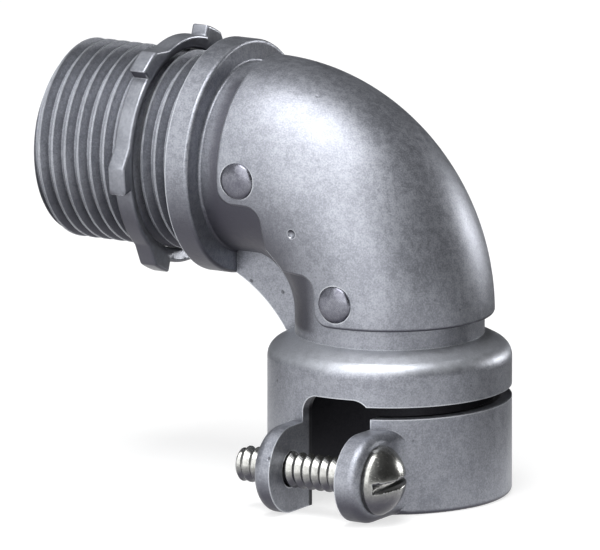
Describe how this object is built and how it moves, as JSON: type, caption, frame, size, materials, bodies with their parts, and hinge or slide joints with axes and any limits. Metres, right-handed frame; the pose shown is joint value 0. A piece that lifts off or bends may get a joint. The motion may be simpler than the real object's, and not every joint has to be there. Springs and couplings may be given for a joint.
{
  "type": "elbow conduit connector",
  "caption": "Ninety degree clamp-type connector that joins flexible metal conduit to a box, with a locknut and a riveted back cover.",
  "frame": {"origin": "centre of the shoulder face that seats on the box wall, on the nipple's axis", "axes": "-X along the threaded nipple into the box, -Z down through the clamp collar, -Y towards the collar's ears and screw"},
  "size_m": [0.0642, 0.0412, 0.059],
  "materials": {
    "casting": "zinc plated, satin",
    "cover": "zinc plated, satin",
    "rivets": "zinc plated, satin",
    "locknut": "zinc plated, satin",
    "screw": "bright"
  },
  "bodies": {
    "elbow": {"connector_body": "casting", "back_cover": "cover", "front_rivet_nipple_side": "rivets", "back_rivet_nipple_side": "rivets", "front_rivet_collar_side": "rivets", "back_rivet_collar_side": "rivets"},
    "locknut": {"locknut": "locknut"},
    "clamp_screw": {"clamp_screw": "screw"}
  },
  "joints": [
    {"name": "locknut_travel", "type": "slide", "parent": "elbow", "child": "locknut", "axis": [-1, 0, 0], "range_m": [-0.0054, 0.017]},
    {"name": "screw_travel", "type": "slide", "parent": "elbow", "child": "clamp_screw", "axis": [1, 0, 0], "range_m": [0, 0.022]}
  ]
}
